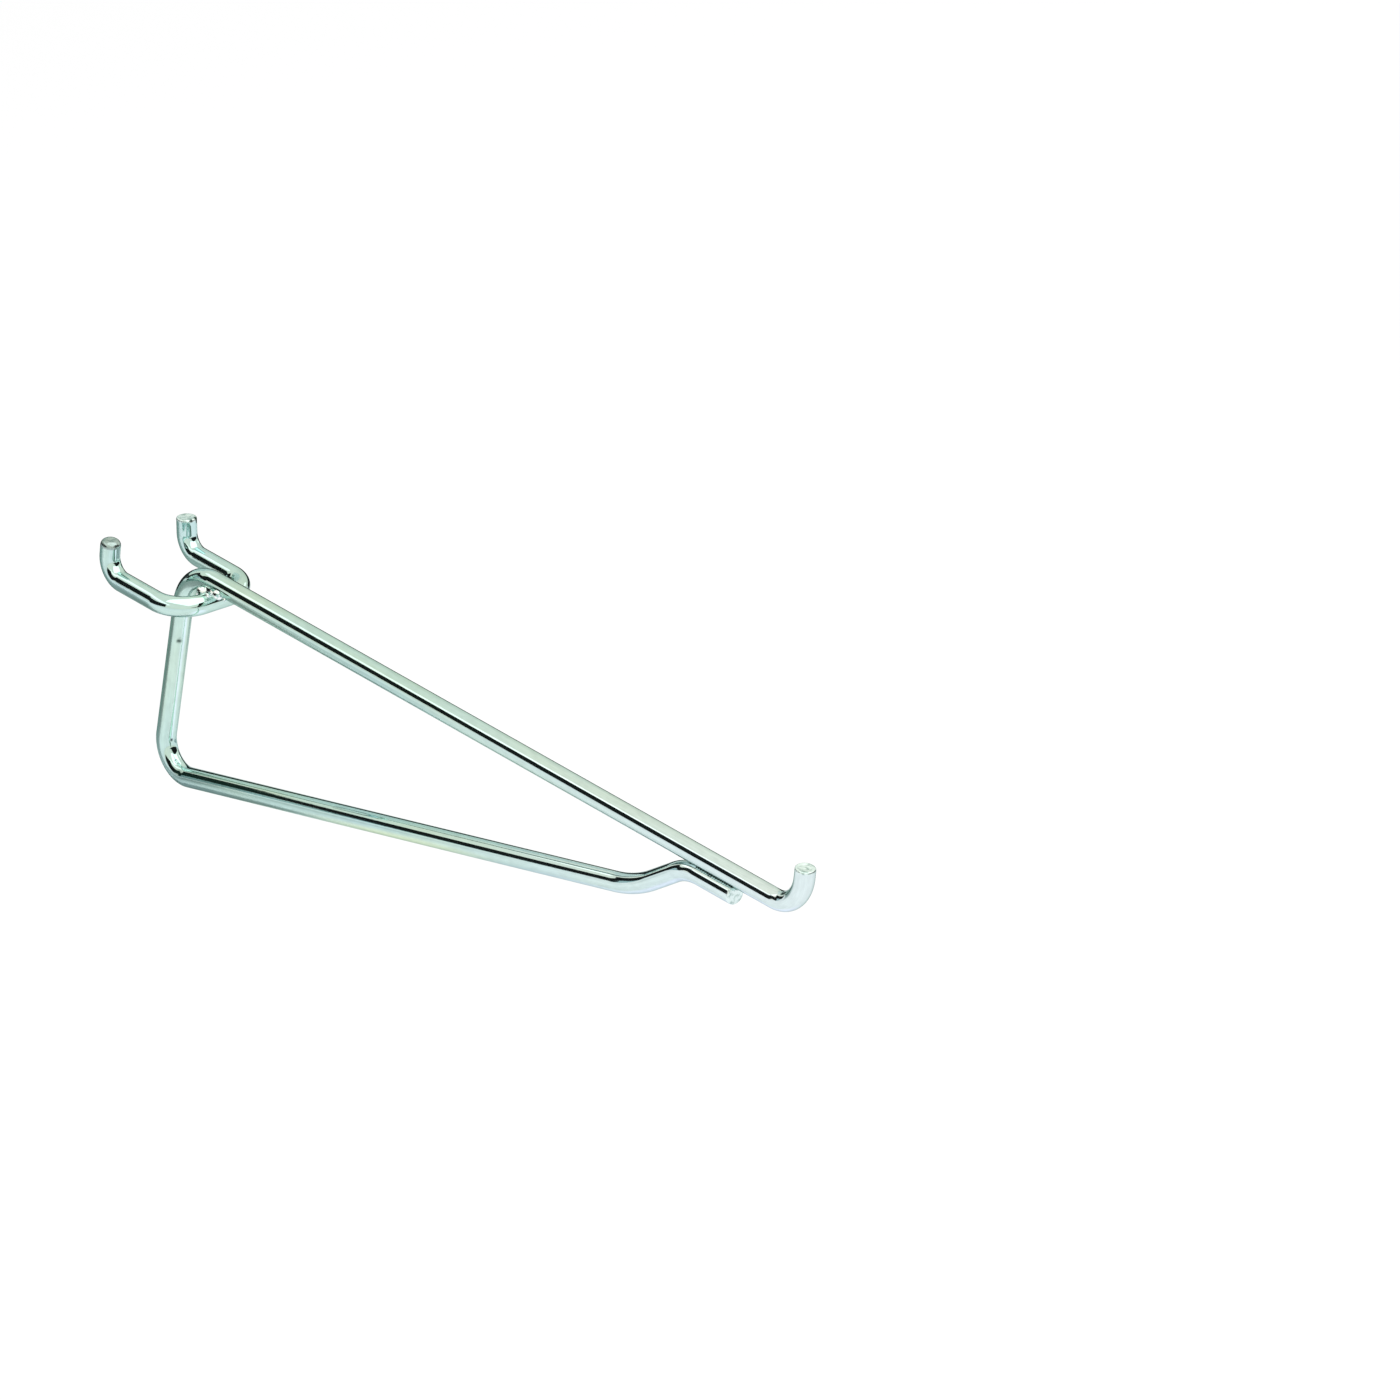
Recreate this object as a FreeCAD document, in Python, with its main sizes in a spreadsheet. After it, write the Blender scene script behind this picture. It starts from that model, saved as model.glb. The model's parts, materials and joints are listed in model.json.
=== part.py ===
import FreeCAD, Part
import math
import os

import Sketcher

# Pegboard shelf hook: two bent round wires, welded together.
# X = 0 is the front face of the board, +X points out of it, +Z is up and Y = 0 is the middle plane.
# Z = 0 is the height of the two board holes that the staple's sides pass through.

# Driving sizes, in millimetres and degrees. A bend is given by the radius of its centre line.
SIZES = {
    # Both wires
    "wire_dia": 5.5,
    "end_bevel": 0.5,
    # How far welding presses one wire into the other
    "weld_set_down": 0.3,
    # Arm and upturned tip; the depth runs from the board to the tip's inner side
    "shelf_depth": 254.8,
    "tip_angle": 95.5,
    "tip_bend": 11.2,
    "tip_straight": 3.0,
    # Leg and heel; the drop runs from the arm's centre line to the lowest centre line
    "leg_angle": 98.8,
    "top_bend": 13.0,
    "heel_bend": 8.2,
    "frame_drop": 60.5,
    # Brace, with the jog that brings its end up under the arm
    "brace_reach": 232.6,
    "jog_angle": 33.7,
    "jog_low_bend": 44.0,
    "jog_straight": 10.4,
    "jog_high_bend": 18.0,
    "lap_straight": 13.4,
    "lap_seam_width": 2.4,
    # Staple; the reach runs from the board to the centre line of its front
    "peg_pitch": 25.4,
    "staple_reach": 22.2,
    "staple_front_flat": 8.0,
    "board_room": 3.2,
    "prong_bend": 5.5,
    "prong_straight": 4.3,
    "left_prong_angle": 85.0,
    "right_prong_angle": 94.0,
    # Weld bead between the staple's front and the arm
    "bead_dia": 6.6,
}

# Places that follow from the sizes
ARM_HEIGHT = "(Sizes.wire_dia - Sizes.weld_set_down)"
ARM_MIDDLE = "(Sizes.shelf_depth / 2)"
LAP_START = "(Sizes.brace_reach - Sizes.lap_straight)"
PEG_SIDE = "(Sizes.peg_pitch / 2)"
STAPLE_BEND = "((Sizes.peg_pitch - Sizes.staple_front_flat) / 2)"
STAPLE_MIDDLE = f"((Sizes.staple_reach - {STAPLE_BEND}) / 2)"
PRONG_RUN = f"({STAPLE_MIDDLE} + Sizes.board_room + Sizes.wire_dia / 2 - Sizes.prong_bend)"
SEAM_RUN = "(Sizes.lap_straight - Sizes.end_bevel - Sizes.lap_seam_width / 2)"

# The start and end of a line or an arc, an arc's centre, and a sketch's own X axis and origin
START, END, CENTRE = 1, 2, 3
X_AXIS = -1
ORIGIN = (-1, START)
NORMAL = FreeCAD.Vector(0, 0, 1)
HALF_TURN = 180
SAME_PLACE = 0.01

doc = FreeCAD.newDocument("pegboard_hook")
sheet = doc.addObject("Spreadsheet::Sheet", "Sizes")
for row, (alias, number) in enumerate(SIZES.items(), start=1):
    sheet.set(f"A{row}", alias)
    sheet.set(f"B{row}", str(number))
    sheet.setAlias(f"B{row}", alias)
doc.recompute()


def value_of(expression):
    """The number that an expression gives with the sheet's present sizes."""
    return float(sheet.evalExpression(expression))


def direction(degrees):
    return FreeCAD.Vector(math.cos(math.radians(degrees)), math.sin(math.radians(degrees)), 0)


def left_of(degrees):
    """The direction a quarter turn to the left of a heading."""
    return direction(degrees + 90)


def attach(feature, body, plane, **offsets):
    """Puts a sketch or solid on one of its body's own planes, moved by expressions for x, y and z."""
    planes = {datum.Role: datum for datum in body.Origin.OriginFeatures}
    feature.AttachmentSupport = [(planes[plane], "")]
    feature.MapMode = "FlatFace"
    for axis, offset in offsets.items():
        feature.setExpression(f"AttachmentOffset.Base.{axis}", offset)


def add_sketch(body, name, plane, **offsets):
    sketch = body.newObject("Sketcher::SketchObject", name)
    attach(sketch, body, plane, **offsets)
    return sketch


def fix(sketch, kind, *where):
    sketch.addConstraint(Sketcher.Constraint(kind, *where))


def bind(sketch, name, kind, *where, to):
    """A dimension of a sketch that follows an expression; an angle is in degrees."""
    start_value = value_of(to)
    if kind == "Angle":
        start_value = math.radians(start_value)
    index = sketch.addConstraint(Sketcher.Constraint(kind, *where, start_value))
    sketch.renameConstraint(index, name)
    sketch.setExpression(f"Constraints.{name}", to)


def line(length):
    return {"length": length}


def bend(radius, turn):
    """A bend through an angle, to the left if it is positive."""
    return {"radius": radius, "turn": turn}


def draw_runs(sketch, point, heading, runs):
    """Draws lines and bends one after the other from a point, each tangent to the one before."""
    before = None
    for run in runs:
        if "length" in run:
            after = point + direction(heading) * run["length"]
            index = sketch.addGeometry(Part.LineSegment(point, after))
            first, last = START, END
        else:
            side = math.copysign(1, run["turn"])
            to_centre = side * run["radius"]
            centre = point + left_of(heading) * to_centre
            angles = [math.radians(heading - side * 90)]
            angles.append(angles[0] + math.radians(run["turn"]))
            circle = Part.Circle(centre, NORMAL, run["radius"])
            index = sketch.addGeometry(Part.ArcOfCircle(circle, min(angles), max(angles)))
            first, last = (START, END) if side > 0 else (END, START)
            heading += run["turn"]
            after = centre - left_of(heading) * to_centre
        if before:
            fix(sketch, "Tangent", *before, index, first)
        before = (index, last)
        point = after


def sweep_wire(body, name, path, **section_place):
    """Sweeps the wire's round section along a path that starts square to it."""
    section = add_sketch(body, f"{name}_section", "YZ_Plane", **section_place)
    section.addGeometry(Part.Circle(FreeCAD.Vector(), NORMAL, SIZES["wire_dia"] / 2))
    fix(section, "Coincident", 0, CENTRE, *ORIGIN)
    bind(section, "wire_size", "Diameter", 0, to="Sizes.wire_dia")
    pipe = body.newObject("PartDesign::AdditivePipe", name)
    pipe.Profile = section
    pipe.Spine = (path, [])
    doc.recompute()
    return pipe


def bevel_end(body, name, pipe, path, last_line):
    """Breaks the sheared edge of the wire at the end of a path's last line."""
    end = path.Placement.multVec(path.getPoint(last_line, END))
    rims = [
        f"Edge{index}"
        for index, edge in enumerate(pipe.Shape.Edges, start=1)
        if edge.CenterOfMass.distanceToPoint(end) < SAME_PLACE
    ]
    bevel = body.newObject("PartDesign::Chamfer", name)
    bevel.Base = (pipe, rims)
    bevel.setExpression("Size", "Sizes.end_bevel")
    doc.recompute()


def back_runs(start):
    """The bracket's centre line from the arm's middle back round the frame to the brace's end.

    The leg's line touches the top bend and the heel, and the brace's line the heel and the jog's bend.
    """
    top, heel = SIZES["top_bend"], SIZES["heel_bend"]
    jog_low, jog_high, jog_angle = SIZES["jog_low_bend"], SIZES["jog_high_bend"], SIZES["jog_angle"]
    heel_centre = FreeCAD.Vector(heel + SIZES["wire_dia"] / 2, start.y - SIZES["frame_drop"] + heel, 0)

    leg_heading = 2 * HALF_TURN - SIZES["leg_angle"]
    top_centre = FreeCAD.Vector(0, start.y - top, 0)
    across_leg = (heel_centre - top_centre).dot(left_of(leg_heading))
    top_centre.x = (across_leg - (heel - top)) / left_of(leg_heading).x
    leg = (heel_centre - top_centre).dot(direction(leg_heading))

    jog_high_centre = FreeCAD.Vector(value_of(LAP_START), -jog_high, 0)
    jog_top = jog_high_centre + left_of(jog_angle) * jog_high
    jog_foot = jog_top - direction(jog_angle) * SIZES["jog_straight"]
    brace_chord = jog_foot + left_of(jog_angle) * jog_low - heel_centre
    chord_heading = math.degrees(math.atan2(brace_chord.y, brace_chord.x))
    brace_heading = chord_heading - math.degrees(math.asin((jog_low - heel) / brace_chord.Length))

    return [
        line(start.x - top_centre.x),
        bend(top, leg_heading - HALF_TURN),
        line(leg),
        bend(heel, 2 * HALF_TURN + brace_heading - leg_heading),
        line(brace_chord.dot(direction(brace_heading))),
        bend(jog_low, jog_angle - brace_heading),
        line(SIZES["jog_straight"]),
        bend(jog_high, -jog_angle),
        line(SIZES["lap_straight"]),
    ]


def draw_back_path(body):
    arm, top, leg, heel, brace, jog_low, jog, jog_high, lap = range(9)
    path = add_sketch(body, "back_path", "XZ_Plane")
    start = FreeCAD.Vector(value_of(ARM_MIDDLE), value_of(ARM_HEIGHT), 0)
    draw_runs(path, start, HALF_TURN, back_runs(start))
    fix(path, "Horizontal", arm)
    bind(path, "arm_middle", "DistanceX", *ORIGIN, arm, START, to=ARM_MIDDLE)
    bind(path, "arm_height", "DistanceY", *ORIGIN, arm, START, to=ARM_HEIGHT)
    bind(path, "top_bend", "Radius", top, to="Sizes.top_bend")
    bind(path, "leg_angle", "Angle", leg, to="-Sizes.leg_angle")
    bind(path, "heel_bend", "Radius", heel, to="Sizes.heel_bend")
    bind(path, "heel_on_board", "DistanceX", *ORIGIN, heel, CENTRE, to="Sizes.heel_bend + Sizes.wire_dia / 2")
    bind(path, "heel_drop", "DistanceY", heel, CENTRE, arm, START, to="Sizes.frame_drop - Sizes.heel_bend")
    bind(path, "jog_low_bend", "Radius", jog_low, to="Sizes.jog_low_bend")
    bind(path, "jog_angle", "Angle", jog, to="Sizes.jog_angle")
    bind(path, "jog_straight", "Distance", jog, to="Sizes.jog_straight")
    bind(path, "jog_high_bend", "Radius", jog_high, to="Sizes.jog_high_bend")
    fix(path, "Horizontal", lap)
    fix(path, "PointOnObject", lap, END, X_AXIS)
    bind(path, "lap_straight", "Distance", lap, to="Sizes.lap_straight")
    bind(path, "brace_reach", "DistanceX", *ORIGIN, lap, END, to="Sizes.brace_reach")
    return path, lap


def draw_front_path(body):
    """The centre line from the arm's middle forward and up into the tip."""
    arm, tip_bend, tip, corner = range(4)
    path = add_sketch(body, "front_path", "XZ_Plane")
    start = FreeCAD.Vector(value_of(ARM_MIDDLE), value_of(ARM_HEIGHT), 0)
    corner_at = FreeCAD.Vector(value_of("Sizes.shelf_depth + Sizes.wire_dia / 2"), start.y, 0)
    turn = HALF_TURN - SIZES["tip_angle"]
    arm_run = corner_at.x - start.x - SIZES["tip_bend"] * math.tan(math.radians(turn / 2))
    draw_runs(path, start, 0, [line(arm_run), bend(SIZES["tip_bend"], turn), line(SIZES["tip_straight"])])
    path.addGeometry(Part.Point(corner_at), True)
    fix(path, "Horizontal", arm)
    bind(path, "arm_middle", "DistanceX", *ORIGIN, arm, START, to=ARM_MIDDLE)
    bind(path, "arm_height", "DistanceY", *ORIGIN, arm, START, to=ARM_HEIGHT)
    fix(path, "PointOnObject", corner, START, arm)
    fix(path, "PointOnObject", corner, START, tip)
    bind(path, "tip_place", "DistanceX", *ORIGIN, corner, START, to="Sizes.shelf_depth + Sizes.wire_dia / 2")
    bind(path, "tip_bend", "Radius", tip_bend, to="Sizes.tip_bend")
    bind(path, "tip_angle", "Angle", tip, to="180 - Sizes.tip_angle")
    bind(path, "tip_straight", "Distance", tip, to="Sizes.tip_straight")
    return path, tip


def add_lap_seam(body):
    """Weld metal in the crease between the arm and the brace's end, from one wire's middle to the other's."""
    side, front, _, back = range(4)
    half_width = SIZES["lap_seam_width"] / 2
    outline = add_sketch(body, "lap_seam_outline", "XY_Plane")
    start = FreeCAD.Vector(value_of(LAP_START), -half_width, 0)
    one_side = [line(value_of(SEAM_RUN)), bend(half_width, HALF_TURN)]
    draw_runs(outline, start, 0, one_side * 2)
    fix(outline, "Tangent", back, END, side, START)
    fix(outline, "Equal", front, back)
    fix(outline, "Horizontal", side)
    fix(outline, "PointOnObject", back, CENTRE, X_AXIS)
    bind(outline, "seam_radius", "Radius", front, to="Sizes.lap_seam_width / 2")
    bind(outline, "seam_start", "DistanceX", *ORIGIN, side, START, to=LAP_START)
    bind(outline, "seam_run", "Distance", side, to=SEAM_RUN)
    seam = body.newObject("PartDesign::Pad", "lap_seam")
    seam.Profile = outline
    seam.setExpression("Length", ARM_HEIGHT)


def build_bracket_wire():
    """Tip, arm, leg, heel and brace: one wire, its end welded under its own arm."""
    body = doc.addObject("PartDesign::Body", "bracket_wire")
    back_path, lap = draw_back_path(body)
    back = sweep_wire(body, "arm_leg_brace", back_path, y=ARM_HEIGHT, z=ARM_MIDDLE)
    bevel_end(body, "brace_end", back, back_path, lap)
    front_path, tip = draw_front_path(body)
    front = sweep_wire(body, "arm_tip", front_path, y=ARM_HEIGHT, z=ARM_MIDDLE)
    bevel_end(body, "tip_end", front, front_path, tip)
    add_lap_seam(body)
    return body


def draw_staple_path(body):
    """The staple's centre line from the middle of its left side, round the front, to its right side."""
    left, left_bend, front, right_bend, right = range(5)
    path = add_sketch(body, "staple_path", "XY_Plane")
    start = FreeCAD.Vector(value_of(STAPLE_MIDDLE), -value_of(PEG_SIDE), 0)
    corner = bend(value_of(STAPLE_BEND), 90)
    side = line(value_of(f"Sizes.staple_reach - {STAPLE_BEND} - {STAPLE_MIDDLE}"))
    draw_runs(path, start, 0, [side, corner, line(SIZES["staple_front_flat"]), corner, side])
    fix(path, "Horizontal", left)
    fix(path, "Vertical", front)
    fix(path, "Horizontal", right)
    fix(path, "Equal", left_bend, right_bend)
    fix(path, "Symmetric", left, START, right, END, X_AXIS)
    bind(path, "peg_pitch", "DistanceY", left, START, right, END, to="Sizes.peg_pitch")
    bind(path, "front_flat", "Distance", front, to="Sizes.staple_front_flat")
    bind(path, "staple_middle", "DistanceX", *ORIGIN, left, START, to=STAPLE_MIDDLE)
    bind(path, "staple_reach", "DistanceX", *ORIGIN, front, START, to="Sizes.staple_reach")
    return path


def draw_prong_path(body, name, plane_offset):
    """A prong's centre line, back along the staple's side and up behind the board."""
    side, prong_bend, prong = range(3)
    angle = SIZES[f"{name}_angle"]
    path = add_sketch(body, f"{name}_path", "XZ_Plane", z=plane_offset)
    start = FreeCAD.Vector(value_of(STAPLE_MIDDLE), 0, 0)
    up = bend(SIZES["prong_bend"], angle - HALF_TURN)
    draw_runs(path, start, HALF_TURN, [line(value_of(PRONG_RUN)), up, line(SIZES["prong_straight"])])
    fix(path, "Horizontal", side)
    fix(path, "PointOnObject", side, START, X_AXIS)
    bind(path, "staple_middle", "DistanceX", *ORIGIN, side, START, to=STAPLE_MIDDLE)
    bind(path, "prong_run", "Distance", side, to=PRONG_RUN)
    bind(path, "prong_bend", "Radius", prong_bend, to="Sizes.prong_bend")
    bind(path, "prong_angle", "Angle", prong, to=f"Sizes.{name}_angle")
    bind(path, "prong_straight", "Distance", prong, to="Sizes.prong_straight")
    return path, prong


def add_weld_bead(body):
    """Weld metal that spreads round the place where the staple's front crosses under the arm."""
    bead = body.newObject("PartDesign::AdditiveSphere", "weld_bead")
    attach(bead, body, "XY_Plane", x="Sizes.staple_reach", z=f"{ARM_HEIGHT} / 2")
    bead.setExpression("Radius", "Sizes.bead_dia / 2")


def build_peg_staple(bracket_wire):
    """The staple with its two prongs, seated in a shallow saddle round the underside of the arm."""
    body = doc.addObject("PartDesign::Body", "staple_wire")
    sweep_wire(body, "staple_sides", draw_staple_path(body), x=f"-{PEG_SIDE}", z=STAPLE_MIDDLE)
    for name, across, plane_offset in (
        ("left_prong", f"-{PEG_SIDE}", PEG_SIDE),
        ("right_prong", PEG_SIDE, f"-{PEG_SIDE}"),
    ):
        path, prong = draw_prong_path(body, name, plane_offset)
        pipe = sweep_wire(body, name, path, x=across, z=STAPLE_MIDDLE)
        bevel_end(body, f"{name}_end", pipe, path, prong)
    add_weld_bead(body)
    seated = doc.addObject("Part::Cut", "peg_staple")
    seated.Base = body
    seated.Tool = bracket_wire
    return seated


bracket_wire = build_bracket_wire()
peg_staple = build_peg_staple(bracket_wire)
doc.recompute()

for item in doc.Objects:
    if {"Invalid", "Error"} & set(item.State):
        raise RuntimeError(f"{item.Label} failed: {item.State}")
os.makedirs("parts", exist_ok=True)
for node in (bracket_wire, peg_staple):
    if node.Shape.isNull() or not node.Shape.isValid() or len(node.Shape.Solids) != 1:
        raise RuntimeError(f"{node.Label} isn't one valid solid")
for node in (bracket_wire, peg_staple):
    node.Shape.exportStep(f"parts/{node.Label}.step")
    print(f"{node.Label}: {node.Shape.Volume:.1f} mm3")
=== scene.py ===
import json
import math

import bmesh
import bpy
import numpy as np
from mathutils import Matrix, Vector, noise


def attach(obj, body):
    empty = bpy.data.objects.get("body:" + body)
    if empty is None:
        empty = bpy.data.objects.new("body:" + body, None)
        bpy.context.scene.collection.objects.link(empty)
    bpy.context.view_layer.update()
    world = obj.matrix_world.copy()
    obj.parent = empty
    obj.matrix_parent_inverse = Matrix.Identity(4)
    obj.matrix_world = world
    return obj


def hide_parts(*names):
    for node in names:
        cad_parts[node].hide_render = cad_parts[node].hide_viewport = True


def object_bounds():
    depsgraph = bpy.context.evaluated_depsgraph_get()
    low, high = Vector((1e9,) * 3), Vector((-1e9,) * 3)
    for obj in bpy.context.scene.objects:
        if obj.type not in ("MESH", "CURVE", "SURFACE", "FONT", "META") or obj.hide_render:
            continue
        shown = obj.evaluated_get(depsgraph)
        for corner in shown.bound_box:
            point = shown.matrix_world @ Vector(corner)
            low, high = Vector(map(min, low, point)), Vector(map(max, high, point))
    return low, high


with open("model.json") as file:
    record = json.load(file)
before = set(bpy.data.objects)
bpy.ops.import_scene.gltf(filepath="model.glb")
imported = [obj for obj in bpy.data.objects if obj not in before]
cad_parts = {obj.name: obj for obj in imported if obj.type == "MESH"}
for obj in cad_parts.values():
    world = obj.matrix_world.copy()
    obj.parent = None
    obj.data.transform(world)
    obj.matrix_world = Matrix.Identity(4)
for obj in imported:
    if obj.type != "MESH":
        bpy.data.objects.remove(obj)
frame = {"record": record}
CAD_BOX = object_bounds()

# A pegboard shelf hook of two bent zinc-plated wires, welded together.
# Sizes are in millimetres and degrees until a mesh is made.
# A bend is given by the radius of its centre line.
MM = 0.001
PEG_PAIR = next(m for m in frame["record"]["mounts"] if m["name"] == "peg_pair")["dims"]
WIRE_RADIUS = PEG_PAIR["stud_r_mm"]
PEG_SIDE = PEG_PAIR["spacing_x_mm"] / 2
WELD_SET_DOWN = 0.3
ARM_HEIGHT = 2 * WIRE_RADIUS - WELD_SET_DOWN

# Arm, tip, leg and brace
SHELF_DEPTH = 254.8
TIP_ANGLE = 95.5
TIP_BEND = 11.2
TIP_STRAIGHT = 3.0
LEG_ANGLE = 98.8
TOP_BEND = 13.0
HEEL_BEND = 8.2
FRAME_DROP = 60.5
BRACE_REACH = 232.6
JOG_ANGLE = 33.7
JOG_LOW_BEND = 44.0
JOG_STRAIGHT = 10.4
JOG_HIGH_BEND = 18.0
LAP_STRAIGHT = 13.4

# Staple and prongs
STAPLE_REACH = 22.2
STAPLE_FRONT_FLAT = 8.0
BOARD_ROOM = 3.2
PRONG_BEND = 5.5
PRONG_STRAIGHT = 4.3
LEFT_PRONG_ANGLE = 85.0
RIGHT_PRONG_ANGLE = 94.0

# Mesh fineness
SEGMENTS = 64
STRAIGHT_STEP = 0.8
BEND_STEP = 0.4
FEWEST_BEND_STEPS = 4
RIM_STEPS = 6
FACE_RINGS = 10

# The skin lies a hair inside the nominal wire
SKIN_INSET = 0.03
SKIN_RADIUS = WIRE_RADIUS - SKIN_INSET

# An end as the radius of its rim, how bare its torn face is and how dark
SHEARED = (0.5, 1.0, 0.0)
WORN = (1.6, 0.6, 0.45)
# How deep a torn face is, how fine its tearing is and how late that fades towards the rim
FACE_TEAR = 0.2
FACE_GRAIN = 1.1
TEAR_FADE = 4

# Nicks in the plating, each a place on the wire and its reach, and a paler straw tint on the downward
# faces of the brace's middle
NICKS = [
    (Vector((9.6, -1.7, -16.3)), 0.9),
    (Vector((251.7, -1.3, 8.7)), 0.8),
    (Vector((5.5, -0.4, -47.0)), 0.6),
    (Vector((-3.7, 12.3, 9.4)), 0.6),
    (Vector((-4.1, 14.2, 9.4)), 0.9),
]
NICK_DEPTH = 0.12
NICK_EDGE = 0.6
STRAW_MIDDLE = 102.0
STRAW_REACH = 42.0
STRAW_TOP = -15.0
STRAW_GAIN = 2.5

FORWARD = Vector((1, 0, 0))
SIDEWAYS = Vector((0, 1, 0))
UPWARD = Vector((0, 0, 1))
# Turning about this axis goes from +X to +Z, in the hook's middle plane
FRAME_AXIS = -SIDEWAYS


def in_frame(degrees):
    """The unit vector in the hook's middle plane at this angle from +X towards +Z."""
    return Vector((math.cos(math.radians(degrees)), 0, math.sin(math.radians(degrees))))


class BentWire:
    """A wire's centre line, followed run by run as the wire is bent."""

    def __init__(self, start, heading, side):
        self.point = Vector(start)
        self.heading = Vector(heading)
        self.side = Vector(side)
        self.length = 0.0
        self.stations = []
        self.mark()

    def mark(self):
        self.stations.append((self.point.copy(), self.heading.copy(), self.side.copy(), self.length))

    def straight(self, length):
        count = max(1, round(length / STRAIGHT_STEP))
        for _ in range(count):
            self.point += self.heading * (length / count)
            self.length += length / count
            self.mark()

    def bend(self, radius, degrees, axis):
        """Turns the wire about axis, towards axis x heading where degrees is positive."""
        angle = math.radians(degrees)
        pivot = self.point + axis.cross(self.heading) * math.copysign(radius, angle)
        count = max(FEWEST_BEND_STEPS, round(abs(angle) * radius / BEND_STEP))
        turn = Matrix.Rotation(angle / count, 3, axis)
        for _ in range(count):
            self.point = pivot + turn @ (self.point - pivot)
            self.heading = (turn @ self.heading).normalized()
            self.side = (turn @ self.side).normalized()
            self.length += abs(angle) * radius / count
            self.mark()


def bracket_path():
    """The bracket wire, from the brace's cut end by heel, leg and arm to the upturned tip."""
    heel_centre = Vector((HEEL_BEND + WIRE_RADIUS, 0, ARM_HEIGHT - FRAME_DROP + HEEL_BEND))
    leg_up = 180 - LEG_ANGLE
    leg_front = in_frame(leg_up - 90)
    top_centre = Vector((0, 0, ARM_HEIGHT - TOP_BEND))
    top_centre.x = ((heel_centre - top_centre).dot(leg_front) - HEEL_BEND + TOP_BEND) / leg_front.x
    leg = (top_centre - heel_centre).dot(in_frame(leg_up))

    high_centre = Vector((BRACE_REACH - LAP_STRAIGHT, 0, -JOG_HIGH_BEND))
    across_jog = in_frame(JOG_ANGLE + 90)
    jog_foot = high_centre + across_jog * JOG_HIGH_BEND - in_frame(JOG_ANGLE) * JOG_STRAIGHT
    chord = jog_foot + across_jog * JOG_LOW_BEND - heel_centre
    chord_angle = math.atan2(chord.z, chord.x)
    brace_angle = math.degrees(chord_angle - math.asin((JOG_LOW_BEND - HEEL_BEND) / chord.length))
    brace = chord.dot(in_frame(brace_angle))

    tip_turn = 180 - TIP_ANGLE
    tip_corner = SHELF_DEPTH + WIRE_RADIUS
    arm = tip_corner - TIP_BEND * math.tan(math.radians(tip_turn / 2)) - top_centre.x

    wire = BentWire((BRACE_REACH, 0, 0), -FORWARD, SIDEWAYS)
    wire.straight(LAP_STRAIGHT)
    wire.bend(JOG_HIGH_BEND, JOG_ANGLE, FRAME_AXIS)
    wire.straight(JOG_STRAIGHT)
    wire.bend(JOG_LOW_BEND, brace_angle - JOG_ANGLE, FRAME_AXIS)
    wire.straight(brace)
    wire.bend(HEEL_BEND, -brace_angle - LEG_ANGLE, FRAME_AXIS)
    wire.straight(leg)
    wire.bend(TOP_BEND, -leg_up, FRAME_AXIS)
    wire.straight(arm)
    wire.bend(TIP_BEND, tip_turn, FRAME_AXIS)
    wire.straight(TIP_STRAIGHT)
    return wire


def staple_path():
    """The staple, from the end of its left prong round its front to the end of the right one."""
    corner = PEG_SIDE - STAPLE_FRONT_FLAT / 2
    bend_x = PRONG_BEND - BOARD_ROOM - WIRE_RADIUS
    side = STAPLE_REACH - corner - bend_x
    prong_foot = Vector((bend_x, -PEG_SIDE, PRONG_BEND)) + in_frame(LEFT_PRONG_ANGLE + 90) * PRONG_BEND
    prong_end = prong_foot + in_frame(LEFT_PRONG_ANGLE) * PRONG_STRAIGHT

    wire = BentWire(prong_end, -in_frame(LEFT_PRONG_ANGLE), SIDEWAYS)
    wire.straight(PRONG_STRAIGHT)
    wire.bend(PRONG_BEND, 180 - LEFT_PRONG_ANGLE, FRAME_AXIS)
    wire.straight(side)
    wire.bend(corner, 90, UPWARD)
    wire.straight(STAPLE_FRONT_FLAT)
    wire.bend(corner, 90, UPWARD)
    wire.straight(side)
    wire.bend(PRONG_BEND, RIGHT_PRONG_ANGLE - 180, FRAME_AXIS)
    wire.straight(PRONG_STRAIGHT)
    return wire


def end_rings(station, rim, bare, dark, inward):
    """Rings of a sheared end, from the middle of its torn face over the rim to the full wire."""
    point, heading, side, along = station
    flat = SKIN_RADIUS - rim
    rings = []
    for ring in range(1, FACE_RINGS + 1):
        share = ring / FACE_RINGS
        rings.append((point, heading, side, flat * share, along, 1 - share ** TEAR_FADE, bare, dark))
    for step in range(1, RIM_STEPS + 1):
        angle = math.pi / 2 * step / RIM_STEPS
        inset = rim * (1 - math.cos(angle)) * inward
        radius = flat + rim * math.sin(angle)
        rings.append((point + heading * inset, heading, side, radius, along + inset, 0.0, bare, dark))
    return rings


def noise_share(place):
    """Smooth noise at a place, from 0 to 1."""
    return 0.5 + 0.5 * noise.noise(place)


def torn(place):
    """How far a torn face lies behind its rim at a place on it."""
    return FACE_TEAR * noise_share(place * FACE_GRAIN)


def nicked(place):
    """How much of a nick there is at a place on the wire, from 0 to 1."""
    deepest = max(1 - (place - middle).length / reach for middle, reach in NICKS)
    return min(1.0, max(0.0, deepest / NICK_EDGE))


def underside_straw(place, offset):
    """How much paler straw tint there is at a place on the downward faces of the brace's middle, from 0
    to 1.
    """
    if place.z > STRAW_TOP:
        return 0.0
    along = max(0.0, 1 - ((place.x - STRAW_MIDDLE) / STRAW_REACH) ** 2)
    return along * min(1.0, max(0.0, -offset.z / SKIN_RADIUS * STRAW_GAIN))


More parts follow.
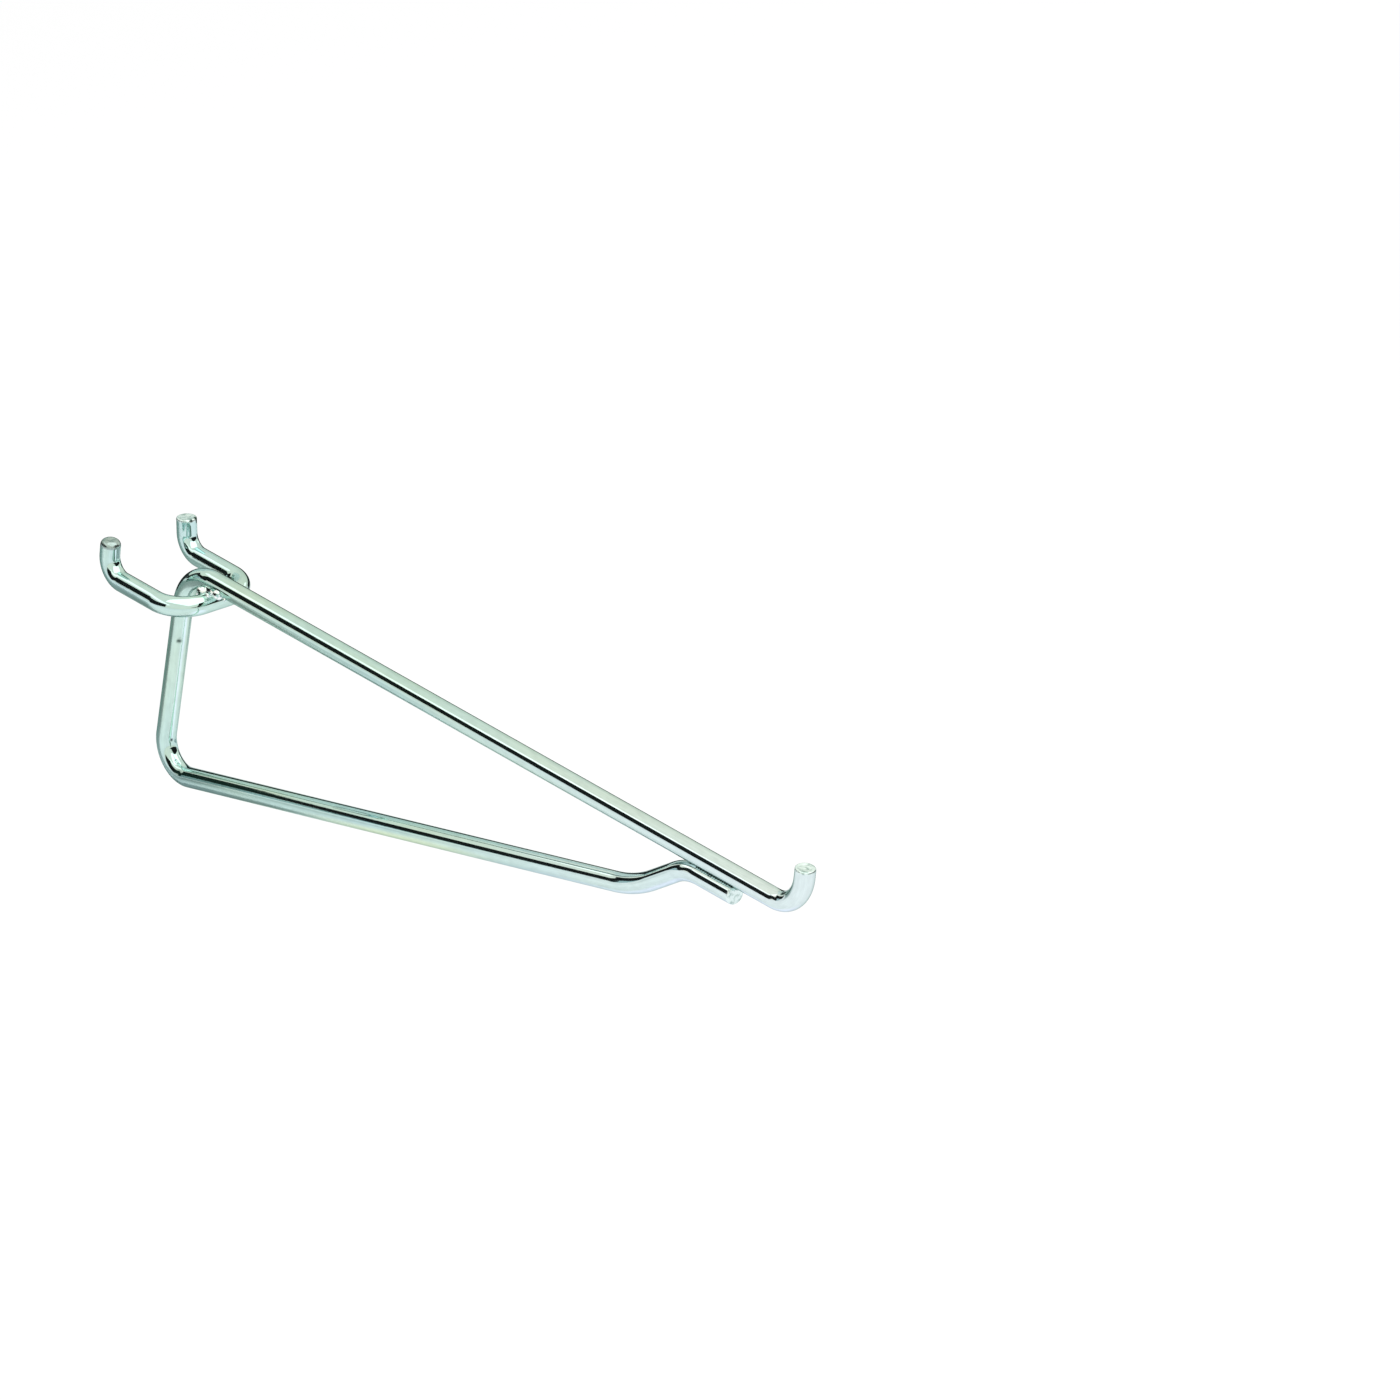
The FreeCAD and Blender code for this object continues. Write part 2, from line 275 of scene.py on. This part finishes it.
def new_piece(name, points, faces, material, **attributes):
    """A smooth-shaded mesh object in metres, with vectors for its points that the material reads."""
    mesh = bpy.data.meshes.new(name)
    mesh.from_pydata((np.array(points) * MM).tolist(), [], faces)
    mesh.polygons.foreach_set("use_smooth", [True] * len(mesh.polygons))
    for label, vectors in attributes.items():
        attribute = mesh.attributes.new(label, "FLOAT_VECTOR", "POINT")
        attribute.data.foreach_set("vector", np.array(vectors, np.float32).ravel())
    mesh.materials.append(material)
    piece = bpy.data.objects.new(name, mesh)
    bpy.context.scene.collection.objects.link(piece)
    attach(piece, "root")
    return piece


def wire_skin(name, wire, start, end, material):
    """The wire's whole skin: rings along its centre line, closed by a sheared face at each end."""
    first, last = wire.stations[0], wire.stations[-1]
    rings = end_rings(first, *start, 1)
    for point, heading, side, along in wire.stations:
        if start[0] < along < wire.length - end[0]:
            rings.append((point, heading, side, SKIN_RADIUS, along, 0.0, 0.0, 0.0))
    rings += reversed(end_rings(last, *end, -1))

    points, unbent, marks = [], [], []
    for index, (centre, heading, side, radius, along, tear, bare, dark) in enumerate(rings):
        across = heading.cross(side)
        inward = heading if index < len(rings) / 2 else -heading
        for segment in range(SEGMENTS):
            angle = 2 * math.pi * segment / SEGMENTS
            outward = side * math.cos(angle) + across * math.sin(angle)
            place = centre + outward * radius
            nick = nicked(place)
            points.append(place - outward * NICK_DEPTH * nick + inward * tear * torn(place))
            unbent.append((math.cos(angle) * radius, math.sin(angle) * radius, along))
            marks.append((bare, underside_straw(place, outward * radius), max(nick, dark)))
    for station, inward, (_, bare, dark) in ((first, first[1], start), (last, -last[1], end)):
        points.append(station[0] + inward * torn(station[0]))
        unbent.append((0.0, 0.0, station[3]))
        marks.append((bare, 0.0, dark))

    faces = []
    for ring in range(len(rings) - 1):
        low, high = ring * SEGMENTS, (ring + 1) * SEGMENTS
        for segment in range(SEGMENTS):
            after = (segment + 1) % SEGMENTS
            faces.append((low + segment, low + after, high + after, high + segment))
    start_centre = len(rings) * SEGMENTS
    top = (len(rings) - 1) * SEGMENTS
    for segment in range(SEGMENTS):
        after = (segment + 1) % SEGMENTS
        faces.append((start_centre, after, segment))
        faces.append((start_centre + 1, top + segment, top + after))
    return new_piece(name, points, faces, material, unbent=unbent, marks=marks)


# Welds: a nugget with spilled drops where the staple crosses under the arm, and ripples along the lap
CREASE_HEIGHT = ARM_HEIGHT / 2
NUGGET_RADIUS = 3.25
SPILLED_DROPS = [
    (Vector((20.4, -2.9, 2.7)), 1.6),
    (Vector((23.3, -3.3, 2.7)), 0.8),
    (Vector((26.4, -2.5, 3.9)), 1.5),
    (Vector((28.9, -2.1, 3.3)), 0.6),
    (Vector((23.0, 2.9, 2.9)), 1.4),
]
RIPPLE_PITCH = 0.85
RIPPLE_SIDE = 1.35
RIPPLE_RADIUS = 0.55
RIPPLE_VARIATION = 0.4
RIPPLE_GRAIN = 0.85
LAP_FLASH = [
    (Vector((232.9, -1.1, 2.6)), 0.85),
    (Vector((234.0, -0.9, 2.8)), 0.6),
    (Vector((232.8, 1.1, 2.6)), 0.8),
]
LUMP_SHARE = 0.15
LUMP_GRAIN = 0.9
LUMP_FINENESS = 4


def weld(name, lumps, material):
    """Weld metal as overlapping uneven lumps, each given by its middle and radius."""
    points, faces = [], []
    for middle, radius in lumps:
        ball = bmesh.new()
        bmesh.ops.create_icosphere(ball, subdivisions=LUMP_FINENESS, radius=radius)
        ball.verts.ensure_lookup_table()
        first = len(points)
        for vert in ball.verts:
            dip = LUMP_SHARE * noise_share((middle + vert.co) * LUMP_GRAIN)
            points.append(middle + vert.co * (1 - dip))
        for face in ball.faces:
            faces.append([first + vert.index for vert in face.verts])
        ball.free()
    return new_piece(name, points, faces, material)


def lap_ripples():
    """The lumps of the lap's weld, in the crease on both sides of it."""
    lumps = list(LAP_FLASH)
    for side in (-RIPPLE_SIDE, RIPPLE_SIDE):
        for x in np.arange(BRACE_REACH - LAP_STRAIGHT, BRACE_REACH, RIPPLE_PITCH):
            place = Vector((x, side, CREASE_HEIGHT))
            variation = RIPPLE_VARIATION * noise.noise(place * RIPPLE_GRAIN)
            lumps.append((place, RIPPLE_RADIUS * (1 + variation)))
    return lumps


def grey(level):
    return (level, level, level, 1)


# Bright zinc on drawn wire
ZINC_MINT = (0.585, 0.79, 0.75, 1)
ZINC_BLUE = (0.58, 0.785, 0.79, 1)
ZINC_STRAW = (0.615, 0.8, 0.715, 1)
ZINC_PAINTED_SHEEN = (0.78, 0.89, 0.91, 1)
ZINC_UNDERSIDE_STRAW = (0.82, 0.96, 0.72, 1)
ZINC_EDGE = (0.5, 0.58, 0.55, 1)
TORN_PALE = (0.77, 0.9, 0.9, 1)
TORN_DARK = (0.42, 0.55, 0.53, 1)
NICK_DARK = (0.03, 0.06, 0.05, 1)
# Near black, in the lap weld's hollows and as painted shade in its crease under the arm
SEAM_DARK_AND_SHADE = (0.01, 0.03, 0.03, 1)
SEAM_TEAL = (0.42, 0.62, 0.6, 1)
WELD_TEAL = (0.3, 0.52, 0.5, 1)
WELD_PALE = (0.9, 0.95, 0.94, 1)
# The zinc grows paler between these places along the arm, a painted sheen that stands in for brighter
# reflections towards the front, and the lap's crease gets painted shade between these heights, in metres
PAINTED_SHEEN_SPAN = (0.1, 0.27)
CREASE_SHADE_SPAN = (0.00255, 0.0029)
# Noise as its cells per millimetre across and along the wire, or per metre on a weld, and its detail
DRIFT = ((0.16, 0.16, 0.018), 2.0)
DRAWN_LINES = ((3.2, 3.2, 0.05), 3.0)
MOTTLE = ((0.9, 0.9, 0.35), 3.0)
TORN_GRAIN = ((0.8, 0.8, 0.8), 4.0)
WELD_HOLLOWS = ((700, 700, 700), 3.0)
WELD_GRAIN = ((4000, 4000, 4000), 2.0)
# Ramps over that noise, each stop a level of the noise and a colour
DRIFT_TINTS = ((0.36, ZINC_BLUE), (0.5, ZINC_MINT), (0.64, ZINC_STRAW))
LINE_SHADES = ((0.34, grey(0.93)), (0.66, grey(1)))
LINE_ROUGHNESS = ((0.34, grey(0.035)), (0.66, grey(0.065)))
MOTTLE_SHADES = ((0.36, grey(0.93)), (0.6, grey(1)))
TORN_TINTS = ((0.36, TORN_DARK), (0.52, TORN_PALE))
TORN_ROUGHNESS = grey(0.36)
HOLLOW_LEVEL = 0.34
TOP_LEVEL = 0.46
WELD_ROUGHNESS = ((0.3, grey(0.08)), (0.7, grey(0.2)))
# Bumps as strength and depth in metres
MOTTLE_BUMP = (0.2, 0.00002)
GRAIN_BUMP = (0.2, 0.00003)


class Nodes:
    """Short calls for building one material's node tree."""

    # Where a colour mix has its factor and its two colours, and its result
    MIX_INPUTS = (0, 6, 7)
    MIX_RESULT = 2

    def __init__(self, material):
        material.use_nodes = True
        self.tree = material.node_tree
        self.shader = self.tree.nodes["Principled BSDF"]

    def add(self, kind, **settings):
        node = self.tree.nodes.new(kind)
        for name, value in settings.items():
            setattr(node, name, value)
        return node

    def link(self, output, target):
        self.tree.links.new(output, target)

    def attribute(self, name):
        return self.add("ShaderNodeAttribute", attribute_name=name).outputs["Vector"]

    def split(self, vector):
        """The X, Y and Z of a vector."""
        node = self.add("ShaderNodeSeparateXYZ")
        self.link(vector, node.inputs[0])
        return node.outputs

    def noise(self, vector, cells, detail):
        """Noise on a vector, with so many cells per unit on each axis."""
        scale = self.add("ShaderNodeVectorMath", operation="MULTIPLY")
        scale.inputs[1].default_value = cells
        self.link(vector, scale.inputs[0])
        texture = self.add("ShaderNodeTexNoise")
        texture.inputs["Scale"].default_value = 1.0
        texture.inputs["Detail"].default_value = detail
        self.link(scale.outputs[0], texture.inputs["Vector"])
        return texture.outputs["Fac"]

    def ramp(self, value, *stops):
        node = self.add("ShaderNodeValToRGB")
        elements = node.color_ramp.elements
        while len(elements) < len(stops):
            elements.new(0.5)
        for element, (position, colour) in zip(elements, stops):
            element.position = position
            element.color = colour
        self.link(value, node.inputs["Fac"])
        return node.outputs["Color"]

    def span(self, value, low, high, from_low, from_high):
        """The value stretched from one range onto another, and held at its ends."""
        node = self.add("ShaderNodeMapRange")
        for label, number in (
            ("From Min", from_low), ("From Max", from_high), ("To Min", low), ("To Max", high),
        ):
            node.inputs[label].default_value = number
        self.link(value, node.inputs["Value"])
        return node.outputs["Result"]

    def mix(self, factor, first, second, blend="MIX"):
        """Two colours mixed, each a colour or an output; the factor is a number or an output."""
        node = self.add("ShaderNodeMix", data_type="RGBA", blend_type=blend)
        for index, value in zip(self.MIX_INPUTS, (factor, first, second)):
            if isinstance(value, bpy.types.NodeSocket):
                self.link(value, node.inputs[index])
            else:
                node.inputs[index].default_value = value
        return node.outputs[self.MIX_RESULT]

    def bump(self, height, strength, distance):
        node = self.add("ShaderNodeBump")
        node.inputs["Strength"].default_value = strength
        node.inputs["Distance"].default_value = distance
        self.link(height, node.inputs["Height"])
        self.link(node.outputs["Normal"], self.shader.inputs["Normal"])


def zinc_material():
    """Bright zinc: drifting tints, a painted sheen paler towards the front, fine lines from drawing, torn
    ends, a paler straw tint on the brace's downward faces and dark nicks.
    """
    material = bpy.data.materials.new("bright_zinc")
    nodes = Nodes(material)
    unbent = nodes.attribute("unbent")
    raw, straw, nick = nodes.split(nodes.attribute("marks"))
    place = nodes.split(nodes.add("ShaderNodeTexCoord").outputs["Object"])

    drift = nodes.noise(unbent, *DRIFT)
    lines = nodes.noise(unbent, *DRAWN_LINES)
    mottle = nodes.noise(unbent, *MOTTLE)
    torn_grain = nodes.noise(unbent, *TORN_GRAIN)

    tint = nodes.ramp(drift, *DRIFT_TINTS)
    # Painted sheen: paler zinc towards the front, standing in for brighter reflections there
    tint = nodes.mix(nodes.span(place["X"], 0, 1, *PAINTED_SHEEN_SPAN), tint, ZINC_PAINTED_SHEEN)
    # A paler straw tint on the downward faces of the brace's middle
    tint = nodes.mix(straw, tint, ZINC_UNDERSIDE_STRAW)
    tint = nodes.mix(1.0, tint, nodes.ramp(lines, *LINE_SHADES), "MULTIPLY")
    tint = nodes.mix(1.0, tint, nodes.ramp(mottle, *MOTTLE_SHADES), "MULTIPLY")
    tint = nodes.mix(raw, tint, nodes.ramp(torn_grain, *TORN_TINTS))
    tint = nodes.mix(nick, tint, NICK_DARK)
    shine = nodes.mix(raw, nodes.ramp(lines, *LINE_ROUGHNESS), TORN_ROUGHNESS)
    nodes.link(tint, nodes.shader.inputs["Base Color"])
    nodes.link(shine, nodes.shader.inputs["Roughness"])
    nodes.shader.inputs["Metallic"].default_value = 1.0
    nodes.shader.inputs["Specular Tint"].default_value = ZINC_EDGE
    nodes.bump(mottle, *MOTTLE_BUMP)
    return material


def weld_material(name, hollow, top, crease_shade=None):
    """Dull plated weld metal, with another colour in its hollows, and that colour again as painted shade
    in its crease, if it has one.
    """
    material = bpy.data.materials.new(name)
    nodes = Nodes(material)
    place = nodes.add("ShaderNodeTexCoord").outputs["Object"]
    hollows = nodes.noise(place, *WELD_HOLLOWS)
    grain = nodes.noise(place, *WELD_GRAIN)
    tint = nodes.ramp(hollows, (HOLLOW_LEVEL, hollow), (TOP_LEVEL, top))
    if crease_shade:
        # Painted shade: the hollows' colour over the weld's upper part, in the crease under the arm
        tint = nodes.mix(nodes.span(nodes.split(place)["Z"], 0, 1, *crease_shade), tint, hollow)
    nodes.link(tint, nodes.shader.inputs["Base Color"])
    nodes.link(nodes.ramp(grain, *WELD_ROUGHNESS), nodes.shader.inputs["Roughness"])
    nodes.shader.inputs["Metallic"].default_value = 1.0
    nodes.bump(grain, *GRAIN_BUMP)
    return material


# Studio: a pale floor, a white surround, three soft lamps, and cards, patches of painted shade and a
# patch of painted glow, seen in reflections only
HOOK_MIDDLE = Vector((SHELF_DEPTH / 2, 0, -FRAME_DROP / 2))
FLOOR_GAP = 70
FLOOR_LEVEL = CAD_BOX[0][2] / MM - FLOOR_GAP
FLOOR_SIZE = 12000
WHITE = grey(1)
FLOOR_COLOUR = (0.95, 0.95, 0.95, 1)
SURROUND_LIGHT = 0.79
SURROUND_WARMTH = (1.0, 0.975, 0.87, 1)
# Each lamp as azimuth, elevation, distance, width and height, and power in watts
OVERHEAD_LAMP = (15, 74, 3000, 4000, 4000, 45)
STRIP_LAMP = (-133, 39.7, 342, 460, 54, 0.05)
SIDE_LAMP = (105, 19, 590, 130, 90, 0.03)
# Each card as its azimuths with its lower and upper elevation there, seen from the middle of the hook
CARD_STEP = 0.5
FAR_RADIUS = 1200
LOW_RADIUS = 1210
WIDE_RADIUS = 560
CLOSE_RADIUS = 300
LEFT_CARD = [
    (-171, -4, 22.5), (-167.5, -4, 21.5), (-161, -4, 19), (-156.5, -4, 17.5), (-153, -4, 17),
    (-152, 6, 17), (-149.5, 6.5, 34),
    (-147, 4, 32.5), (-144, -0.5, 31), (-141, -3, 29.5), (-140, -4, 29.5), (-138.5, 5.5, 29.5),
    (-135.5, 5.5, 30), (-134, 3.5, 30), (-131, -1.5, 30), (-128.5, -1.5, 30),
    (-110, 0, 31), (-86, 5, 35),
]
LOW_CARD = [(-160, -4.5, 7), (-150, -4.5, 7), (-144, -4.5, 0), (-140, -4.5, -3), (-139, -4.5, -4)]
RIGHT_CARD = [(-18, 13, 16), (0, 12, 19), (15, 8, 48), (45, 4, 48), (62, 2, 34), (88, -4, 9)]
REAR_CARD = [(146, -4, 24), (166, -4, 26), (176, -2, 26)]
BEHIND_CARD = [(116, -11, 6), (127, -10, 8), (148, -5, 9), (160, -6, 7), (186, -6, 7)]
CARD_BLACK = (0.012, 0.014, 0.014, 1)
CARD_SMOKE = (0.03, 0.035, 0.035, 1)
CARD_TEAL = (0.4, 0.54, 0.56, 1)
CARD_GREY = (0.76, 0.84, 0.8, 1)
# Soft patches of painted shade, and one of painted glow, each as its middle, reach, fully covered core
# and cover, and its colour
PATCH_LEVEL = FLOOR_LEVEL + 1
SHADE_PATCH = ((-430, -20, PATCH_LEVEL), (450, 360), 0.5, 0.7, (0.05, 0.18, 0.15, 1))
FAR_SHADE_PATCH = ((60, 230, PATCH_LEVEL), (140, 120), 0.3, 0.7, (0.1, 0.2, 0.22, 1))
# Painted glow: a bright pool of light on the floor that is no lamp, seen only in reflections
GLOW_PATCH = ((150, 30, PATCH_LEVEL), (130, 80), 0.3, 0.9, (1.38, 1.28, 1.5, 1))
UNDER_SHADE_PATCH = ((8, -3, -75), (46, 17), 0.45, 0.6, (0.03, 0.1, 0.1, 1))
# This patch of painted shade stands upright beside the leg
LEG_SHADE_PATCH = ((-20, -28, -45), (45, 26), 0.3, 0.45, (0.01, 0.04, 0.03, 1))


def plain_material(name, colour):
    material = bpy.data.materials.new(name)
    material.use_nodes = True
    shader = material.node_tree.nodes["Principled BSDF"]
    shader.inputs["Base Color"].default_value = colour
    shader.inputs["Roughness"].default_value = 1.0
    shader.inputs["Specular IOR Level"].default_value = 0.0
    return material


def stage_mesh(name, points, faces, material):
    mesh = bpy.data.meshes.new(name)
    mesh.from_pydata((np.array(points) * MM).tolist(), [], faces)
    mesh.materials.append(material)
    item = bpy.data.objects.new(name, mesh)
    bpy.context.scene.collection.objects.link(item)
    return item


def add_floor():
    """A wide pale floor under the hook, which hangs above it."""
    half = FLOOR_SIZE / 2
    corners = [(x * half, y * half, FLOOR_LEVEL) for x, y in ((-1, -1), (1, -1), (1, 1), (-1, 1))]
    stage_mesh("floor", corners, [(0, 1, 2, 3)], plain_material("pale_floor", FLOOR_COLOUR))


def reflected_only(item):
    item.visible_camera = False
    item.visible_diffuse = False
    item.visible_shadow = False
    item.visible_transmission = False


def add_patch(name, upright, middle, reach, core, cover, colour):
    """A soft-edged patch, dark as painted shade or bright as a painted glow, lying or upright and facing
    +X, that is seen only in reflections.
    """
    material = bpy.data.materials.new(name)
    material.use_nodes = True
    tree = material.node_tree
    tree.nodes.remove(tree.nodes["Principled BSDF"])
    place = tree.nodes.new("ShaderNodeTexCoord")
    length = tree.nodes.new("ShaderNodeVectorMath")
    length.operation = "LENGTH"
    fade = tree.nodes.new("ShaderNodeMapRange")
    fade.interpolation_type = "SMOOTHSTEP"
    fade.inputs["From Min"].default_value = core
    fade.inputs["To Min"].default_value = cover
    fade.inputs["To Max"].default_value = 0.0
    clear = tree.nodes.new("ShaderNodeBsdfTransparent")
    glow = tree.nodes.new("ShaderNodeEmission")
    glow.inputs["Color"].default_value = colour
    mixed = tree.nodes.new("ShaderNodeMixShader")
    tree.links.new(place.outputs["Object"], length.inputs[0])
    tree.links.new(length.outputs["Value"], fade.inputs["Value"])
    tree.links.new(fade.outputs["Result"], mixed.inputs["Fac"])
    tree.links.new(clear.outputs[0], mixed.inputs[1])
    tree.links.new(glow.outputs[0], mixed.inputs[2])
    tree.links.new(mixed.outputs[0], tree.nodes["Material Output"].inputs["Surface"])
    corners = [(x / MM, y / MM, 0) for x, y in ((-1, -1), (1, -1), (1, 1), (-1, 1))]
    patch = stage_mesh(name, corners, [(0, 1, 2, 3)], material)
    patch.location = Vector(middle) * MM
    patch.scale = Vector((*reach, 1)) * MM
    if upright:
        patch.rotation_euler.y = math.pi / 2
    reflected_only(patch)


def add_card(name, radius, outline, colour):
    """A card that stands round the hook at a radius and is seen only in reflections."""
    azimuths, lows, highs = zip(*outline)
    points, faces = [], []
    count = round((azimuths[-1] - azimuths[0]) / CARD_STEP)
    for azimuth in np.linspace(azimuths[0], azimuths[-1], count + 1):
        around = math.radians(azimuth)
        foot = HOOK_MIDDLE + Vector((math.cos(around), math.sin(around), 0)) * radius
        for edge in (lows, highs):
            elevation = math.radians(np.interp(azimuth, azimuths, edge))
            points.append(foot + UPWARD * radius * math.tan(elevation))
        if len(points) > 2:
            last = len(points) - 4
            faces.append((last, last + 2, last + 3, last + 1))
    reflected_only(stage_mesh(name, points, faces, plain_material(name, colour)))


def add_surround():
    """White all round for the eye and for reflections, and an even soft light for the rest."""
    world = bpy.data.worlds.new("studio")
    world.use_nodes = True
    bpy.context.scene.world = world
    tree = world.node_tree
    background = tree.nodes["Background"]
    rays = tree.nodes.new("ShaderNodeLightPath")
    colour = tree.nodes.new("ShaderNodeMix")
    colour.data_type = "RGBA"
    colour.inputs["A"].default_value = WHITE
    colour.inputs["B"].default_value = SURROUND_WARMTH
    tree.links.new(rays.outputs["Is Glossy Ray"], colour.inputs["Factor"])
    tree.links.new(colour.outputs["Result"], background.inputs["Color"])
    seen = tree.nodes.new("ShaderNodeMath")
    seen.operation = "MAXIMUM"
    also = tree.nodes.new("ShaderNodeMath")
    also.operation = "MAXIMUM"
    level = tree.nodes.new("ShaderNodeMapRange")
    level.inputs["To Min"].default_value = SURROUND_LIGHT
    level.inputs["To Max"].default_value = 1.0
    tree.links.new(rays.outputs["Is Camera Ray"], seen.inputs[0])
    tree.links.new(rays.outputs["Is Glossy Ray"], seen.inputs[1])
    tree.links.new(seen.outputs[0], also.inputs[0])
    tree.links.new(rays.outputs["Is Transmission Ray"], also.inputs[1])
    tree.links.new(also.outputs[0], level.inputs["Value"])
    tree.links.new(level.outputs["Result"], background.inputs["Strength"])


def add_lamp(name, azimuth, elevation, distance, width, height, power):
    """A soft box that faces the middle of the hook."""
    lamp = bpy.data.lights.new(name, "AREA")
    lamp.shape = "RECTANGLE"
    lamp.size = width * MM
    lamp.size_y = height * MM
    lamp.energy = power
    around, above = math.radians(azimuth), math.radians(elevation)
    flat = Vector((math.cos(around), math.sin(around), 0))
    away = flat * math.cos(above) + UPWARD * math.sin(above)
    box = bpy.data.objects.new(name, lamp)
    box.location = (HOOK_MIDDLE + away * distance) * MM
    box.rotation_euler = away.to_track_quat("Z", "Y").to_euler()
    box.visible_camera = False
    bpy.context.scene.collection.objects.link(box)


# Camera at the photograph's place; the photograph is 1400 pixels wide and high
IMAGE_PIXELS = 1400
CAMERA_DISTANCE = 3931.8
CAMERA_AZIMUTH = 49.43
CAMERA_ELEVATION = 26.085
CAMERA_ROLL = 1.823
PIXELS_PER_MM = 3.8453
ORIGIN_PIXEL = (162.3, 570.1)
SENSOR_WIDTH = 36.0


def add_camera():
    """A long lens, level with the frame's origin where the photograph shows it."""
    azimuth, elevation, roll = (math.radians(a) for a in (CAMERA_AZIMUTH, CAMERA_ELEVATION, CAMERA_ROLL))
    level_right = Vector((math.cos(azimuth), math.sin(azimuth), 0))
    towards = Vector((math.sin(azimuth), -math.cos(azimuth), 0))
    level_up = UPWARD * math.cos(elevation) - towards * math.sin(elevation)
    back = towards * math.cos(elevation) + UPWARD * math.sin(elevation)
    right = level_right * math.cos(roll) + level_up * math.sin(roll)
    up = level_up * math.cos(roll) - level_right * math.sin(roll)
    shift_right = (ORIGIN_PIXEL[0] - IMAGE_PIXELS / 2) / PIXELS_PER_MM
    shift_up = (IMAGE_PIXELS / 2 - ORIGIN_PIXEL[1]) / PIXELS_PER_MM
    place = (back * CAMERA_DISTANCE - right * shift_right - up * shift_up) * MM

    lens = bpy.data.cameras.new("camera")
    lens.sensor_width = SENSOR_WIDTH
    lens.lens = SENSOR_WIDTH * PIXELS_PER_MM * CAMERA_DISTANCE / IMAGE_PIXELS
    camera = bpy.data.objects.new("camera", lens)
    camera.matrix_world = Matrix.Translation(place) @ Matrix((right, up, back)).transposed().to_4x4()
    bpy.context.scene.collection.objects.link(camera)
    bpy.context.scene.camera = camera


zinc = zinc_material()
bracket = wire_skin("bracket_wire_skin", bracket_path(), SHEARED, SHEARED, zinc)
staple = wire_skin("peg_staple_skin", staple_path(), WORN, SHEARED, zinc)
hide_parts("bracket_wire")
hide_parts("peg_staple")
nugget = (Vector((STAPLE_REACH, 0, CREASE_HEIGHT)), NUGGET_RADIUS)
weld("staple_weld", [nugget, *SPILLED_DROPS], weld_material("bright_weld", WELD_TEAL, WELD_PALE))
# The lap's weld, with painted shade in its crease under the arm
weld("lap_weld", lap_ripples(), weld_material("dark_weld_and_crease_shade", SEAM_DARK_AND_SHADE, SEAM_TEAL, CREASE_SHADE_SPAN))

add_floor()
# Painted shade: dark soft patches on the floor and beside the leg, seen only in reflections
add_patch("shade_patch", False, *SHADE_PATCH)
add_patch("far_shade_patch", False, *FAR_SHADE_PATCH)
# A painted glow on the floor, seen only in reflections
add_patch("glow_patch", False, *GLOW_PATCH)
add_patch("under_shade_patch", False, *UNDER_SHADE_PATCH)
add_patch("leg_shade_patch", True, *LEG_SHADE_PATCH)
add_card("left_card", FAR_RADIUS, LEFT_CARD, CARD_BLACK)
add_card("low_card", LOW_RADIUS, LOW_CARD, CARD_TEAL)
add_card("right_card", WIDE_RADIUS, RIGHT_CARD, CARD_BLACK)
add_card("rear_card", WIDE_RADIUS, REAR_CARD, CARD_GREY)
add_card("behind_card", CLOSE_RADIUS, BEHIND_CARD, CARD_SMOKE)
add_surround()
add_lamp("overhead_lamp", *OVERHEAD_LAMP)
add_lamp("strip_lamp", *STRIP_LAMP)
add_lamp("side_lamp", *SIDE_LAMP)
add_camera()
bpy.context.scene.view_settings.view_transform = "Standard"
